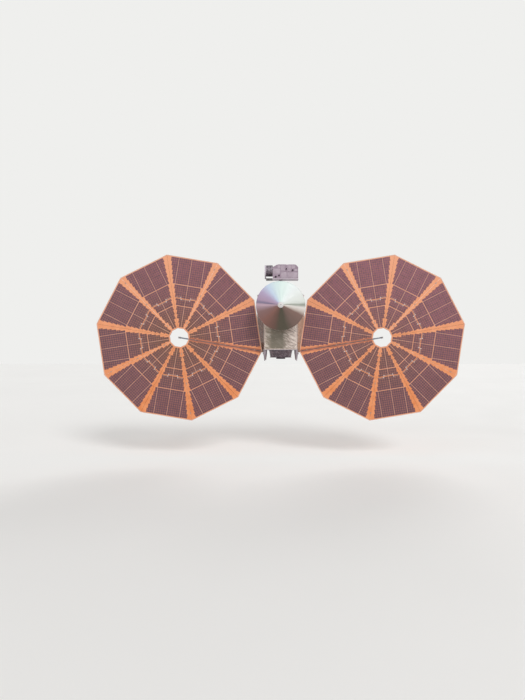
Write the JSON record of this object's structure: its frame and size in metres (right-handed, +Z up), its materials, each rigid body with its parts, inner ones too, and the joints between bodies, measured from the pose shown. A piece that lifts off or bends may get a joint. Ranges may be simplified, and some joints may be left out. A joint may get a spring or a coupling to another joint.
{
  "type": "space probe",
  "caption": "Space probe with two round fan-folding solar wings, a covered dish, a two-axis instrument platform on a mast and a launch ring under a film-wrapped body.",
  "frame": {"origin": "centre of the launch ring's bottom face", "axes": "+Z up from the ring to the platform, -Y to the front where the dish looks, +X to the right seen from the front"},
  "size_m": [16.021, 2.82, 7.2169],
  "materials": {
    "blanket": "crinkled silvered film",
    "deck": "satin",
    "ring": "machined",
    "bell": "dark heat-stained metal",
    "pod": "satin grey",
    "dish": "white fibre shell",
    "cover": "silvered film",
    "strut": "dark composite",
    "instrument": "silvered film",
    "shade": "bright satin",
    "gore": "solar cells on an orange mesh blanket",
    "louver": "bright slats"
  },
  "bodies": {
    "bus": {"bus_body": "blanket", "lower_deck": "deck", "upper_deck": "deck", "launch_ring": "ring", "engine_bell": "bell", "dish_shell": "dish", "dish_cover": "cover", "dish_cap": "cover", "mast": "strut", "star_tracker_left": "strut", "star_tracker_right": "strut", "horn_antenna": "ring", "louver_left": "louver", "louver_right": "louver", "louver_back": "louver", "thruster_pod_front_left": "pod", "thruster_pod_front_right": "pod", "thruster_pod_back_left": "pod", "thruster_pod_back_right": "pod", "dish_bipod_1": "strut", "dish_bipod_2": "strut", "dish_bipod_3": "strut", "wing_boom_left": "strut", "root_hinge_left": "ring", "wing_bracket_left": "ring", "wing_boom_right": "strut", "root_hinge_right": "ring", "wing_bracket_right": "ring"},
    "turret": {"turret": "ring"},
    "platform": {"platform_plate": "deck", "instrument_box_left": "instrument", "instrument_box_right": "instrument", "telescope": "instrument", "telescope_shade": "shade"},
    "gore_left_01": {"gore_left_01": "gore"},
    "gore_left_02": {"gore_left_02": "gore"},
    "gore_left_03": {"gore_left_03": "gore"},
    "gore_left_04": {"gore_left_04": "gore"},
    "gore_left_05": {"gore_left_05": "gore"},
    "gore_left_06": {"gore_left_06": "gore"},
    "gore_left_07": {"gore_left_07": "gore"},
    "gore_left_08": {"gore_left_08": "gore"},
    "gore_left_09": {"gore_left_09": "gore"},
    "gore_left_10": {"gore_left_10": "gore"},
    "gore_right_01": {"gore_right_01": "gore"},
    "gore_right_02": {"gore_right_02": "gore"},
    "gore_right_03": {"gore_right_03": "gore"},
    "gore_right_04": {"gore_right_04": "gore"},
    "gore_right_05": {"gore_right_05": "gore"},
    "gore_right_06": {"gore_right_06": "gore"},
    "gore_right_07": {"gore_right_07": "gore"},
    "gore_right_08": {"gore_right_08": "gore"},
    "gore_right_09": {"gore_right_09": "gore"},
    "gore_right_10": {"gore_right_10": "gore"}
  },
  "joints": [
    {"name": "platform_azimuth", "type": "hinge", "parent": "bus", "child": "turret", "pos_m": [0, -0.3, 3.25], "axis": [0, 0, 1], "range_deg": [-175, 175]},
    {"name": "platform_tilt", "type": "hinge", "parent": "turret", "child": "platform", "pos_m": [0, -0.3, 3.33], "axis": [1, 0, 0], "range_deg": [-60, 60]},
    {"name": "wing_left_fold", "type": "hinge", "parent": "bus", "child": "gore_left_01", "pos_m": [-4.40999, -0.461, 0.87014], "axis": [0.9866, 0, -0.1633], "range_deg": [0, 90]},
    {"name": "crease_left_1", "type": "hinge", "parent": "gore_left_01", "child": "gore_left_02", "pos_m": [-4.40999, -0.428, 0.87014], "axis": [-0.8942, 0, -0.4478], "range_deg": [0, 180]},
    {"name": "crease_left_2", "type": "hinge", "parent": "gore_left_02", "child": "gore_left_03", "pos_m": [-4.40999, -0.461, 0.87014], "axis": [0.4602, 0, 0.8878], "range_deg": [0, 180]},
    {"name": "crease_left_3", "type": "hinge", "parent": "gore_left_03", "child": "gore_left_04", "pos_m": [-4.40999, -0.428, 0.87014], "axis": [0.1495, 0, -0.9888], "range_deg": [0, 180]},
    {"name": "crease_left_4", "type": "hinge", "parent": "gore_left_04", "child": "gore_left_05", "pos_m": [-4.40999, -0.461, 0.87014], "axis": [-0.7022, 0, 0.712], "range_deg": [0, 180]},
    {"name": "crease_left_5", "type": "hinge", "parent": "gore_left_05", "child": "gore_left_06", "pos_m": [-4.40999, -0.428, 0.87014], "axis": [0.9866, 0, -0.1633], "range_deg": [0, 180]},
    {"name": "crease_left_6", "type": "hinge", "parent": "gore_left_06", "child": "gore_left_07", "pos_m": [-4.40999, -0.461, 0.87014], "axis": [-0.8942, 0, -0.4478], "range_deg": [0, 180]},
    {"name": "crease_left_7", "type": "hinge", "parent": "gore_left_07", "child": "gore_left_08", "pos_m": [-4.40999, -0.428, 0.87014], "axis": [0.4602, 0, 0.8878], "range_deg": [0, 180]},
    {"name": "crease_left_8", "type": "hinge", "parent": "gore_left_08", "child": "gore_left_09", "pos_m": [-4.40999, -0.461, 0.87014], "axis": [0.1495, 0, -0.9888], "range_deg": [0, 180]},
    {"name": "crease_left_9", "type": "hinge", "parent": "gore_left_09", "child": "gore_left_10", "pos_m": [-4.40999, -0.428, 0.87014], "axis": [-0.7022, 0, 0.712], "range_deg": [0, 180]},
    {"name": "wing_right_fold", "type": "hinge", "parent": "bus", "child": "gore_right_01", "pos_m": [4.40999, -0.461, 0.87014], "axis": [0.9866, 0, 0.1633], "range_deg": [0, 90]},
    {"name": "crease_right_1", "type": "hinge", "parent": "gore_right_01", "child": "gore_right_02", "pos_m": [4.40999, -0.428, 0.87014], "axis": [-0.8942, 0, 0.4478], "range_deg": [0, 180]},
    {"name": "crease_right_2", "type": "hinge", "parent": "gore_right_02", "child": "gore_right_03", "pos_m": [4.40999, -0.461, 0.87014], "axis": [0.4602, 0, -0.8878], "range_deg": [0, 180]},
    {"name": "crease_right_3", "type": "hinge", "parent": "gore_right_03", "child": "gore_right_04", "pos_m": [4.40999, -0.428, 0.87014], "axis": [0.1495, 0, 0.9888], "range_deg": [0, 180]},
    {"name": "crease_right_4", "type": "hinge", "parent": "gore_right_04", "child": "gore_right_05", "pos_m": [4.40999, -0.461, 0.87014], "axis": [-0.7022, 0, -0.712], "range_deg": [0, 180]},
    {"name": "crease_right_5", "type": "hinge", "parent": "gore_right_05", "child": "gore_right_06", "pos_m": [4.40999, -0.428, 0.87014], "axis": [0.9866, 0, 0.1633], "range_deg": [0, 180]},
    {"name": "crease_right_6", "type": "hinge", "parent": "gore_right_06", "child": "gore_right_07", "pos_m": [4.40999, -0.461, 0.87014], "axis": [-0.8942, 0, 0.4478], "range_deg": [0, 180]},
    {"name": "crease_right_7", "type": "hinge", "parent": "gore_right_07", "child": "gore_right_08", "pos_m": [4.40999, -0.428, 0.87014], "axis": [0.4602, 0, -0.8878], "range_deg": [0, 180]},
    {"name": "crease_right_8", "type": "hinge", "parent": "gore_right_08", "child": "gore_right_09", "pos_m": [4.40999, -0.461, 0.87014], "axis": [0.1495, 0, 0.9888], "range_deg": [0, 180]},
    {"name": "crease_right_9", "type": "hinge", "parent": "gore_right_09", "child": "gore_right_10", "pos_m": [4.40999, -0.428, 0.87014], "axis": [-0.7022, 0, -0.712], "range_deg": [0, 180]}
  ],
  "couplings": [
    {"joint": "crease_left_1", "follows": "wing_left_fold", "ratio": 2},
    {"joint": "crease_left_2", "follows": "wing_left_fold", "ratio": 2},
    {"joint": "crease_left_3", "follows": "wing_left_fold", "ratio": 2},
    {"joint": "crease_left_4", "follows": "wing_left_fold", "ratio": 2},
    {"joint": "crease_left_5", "follows": "wing_left_fold", "ratio": 2},
    {"joint": "crease_left_6", "follows": "wing_left_fold", "ratio": 2},
    {"joint": "crease_left_7", "follows": "wing_left_fold", "ratio": 2},
    {"joint": "crease_left_8", "follows": "wing_left_fold", "ratio": 2},
    {"joint": "crease_left_9", "follows": "wing_left_fold", "ratio": 2},
    {"joint": "crease_right_1", "follows": "wing_right_fold", "ratio": 2},
    {"joint": "crease_right_2", "follows": "wing_right_fold", "ratio": 2},
    {"joint": "crease_right_3", "follows": "wing_right_fold", "ratio": 2},
    {"joint": "crease_right_4", "follows": "wing_right_fold", "ratio": 2},
    {"joint": "crease_right_5", "follows": "wing_right_fold", "ratio": 2},
    {"joint": "crease_right_6", "follows": "wing_right_fold", "ratio": 2},
    {"joint": "crease_right_7", "follows": "wing_right_fold", "ratio": 2},
    {"joint": "crease_right_8", "follows": "wing_right_fold", "ratio": 2},
    {"joint": "crease_right_9", "follows": "wing_right_fold", "ratio": 2}
  ]
}
